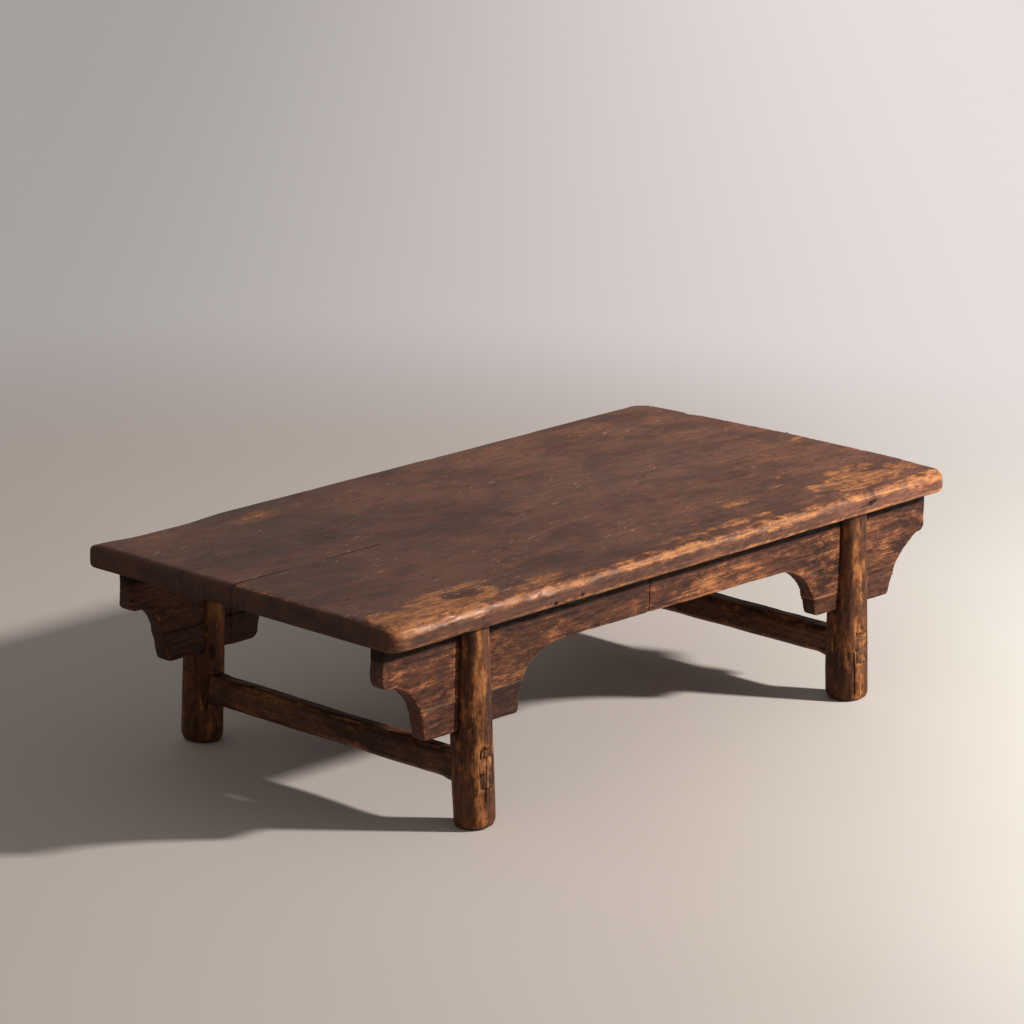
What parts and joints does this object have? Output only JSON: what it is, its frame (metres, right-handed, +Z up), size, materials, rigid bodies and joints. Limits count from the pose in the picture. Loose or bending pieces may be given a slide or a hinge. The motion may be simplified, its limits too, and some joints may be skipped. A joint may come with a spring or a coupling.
{
  "type": "kang table",
  "caption": "Low wooden table: a two-board top on round splayed legs that clasp shaped aprons in slotted joints, with a through-tenoned stretcher at each end.",
  "frame": {"origin": "on the floor, under the middle of the table", "axes": "+X along the table's length, to the right seen from the front; +Y from the front long side to the back; +Z up"},
  "size_m": [0.9, 0.4522, 0.245],
  "materials": {
    "top_wood": "worn dark lacquer over honey-coloured wood",
    "apron_wood": "worn dark lacquer",
    "leg_wood": "worn lacquer, polished by use",
    "stretcher_wood": "worn lacquer",
    "raw_wood": "unfinished, darkened by age",
    "bamboo": "unfinished"
  },
  "bodies": {
    "root": {"top_board_front": "top_wood", "top_board_back": "top_wood", "batten_left": "raw_wood", "batten_right": "raw_wood", "seam_dowels": "bamboo", "apron_front_left": "apron_wood", "apron_front_right": "apron_wood", "apron_back": "apron_wood", "apron_joint_key": "raw_wood", "apron_pins": "bamboo", "spandrel_front_left": "apron_wood", "spandrel_front_right": "apron_wood", "spandrel_back_left": "apron_wood", "spandrel_back_right": "apron_wood", "leg_front_left": "leg_wood", "leg_front_right": "leg_wood", "leg_back_left": "leg_wood", "leg_back_right": "leg_wood", "stretcher_left": "stretcher_wood", "stretcher_right": "stretcher_wood", "stretcher_wedges": "bamboo"}
  },
  "joints": []
}
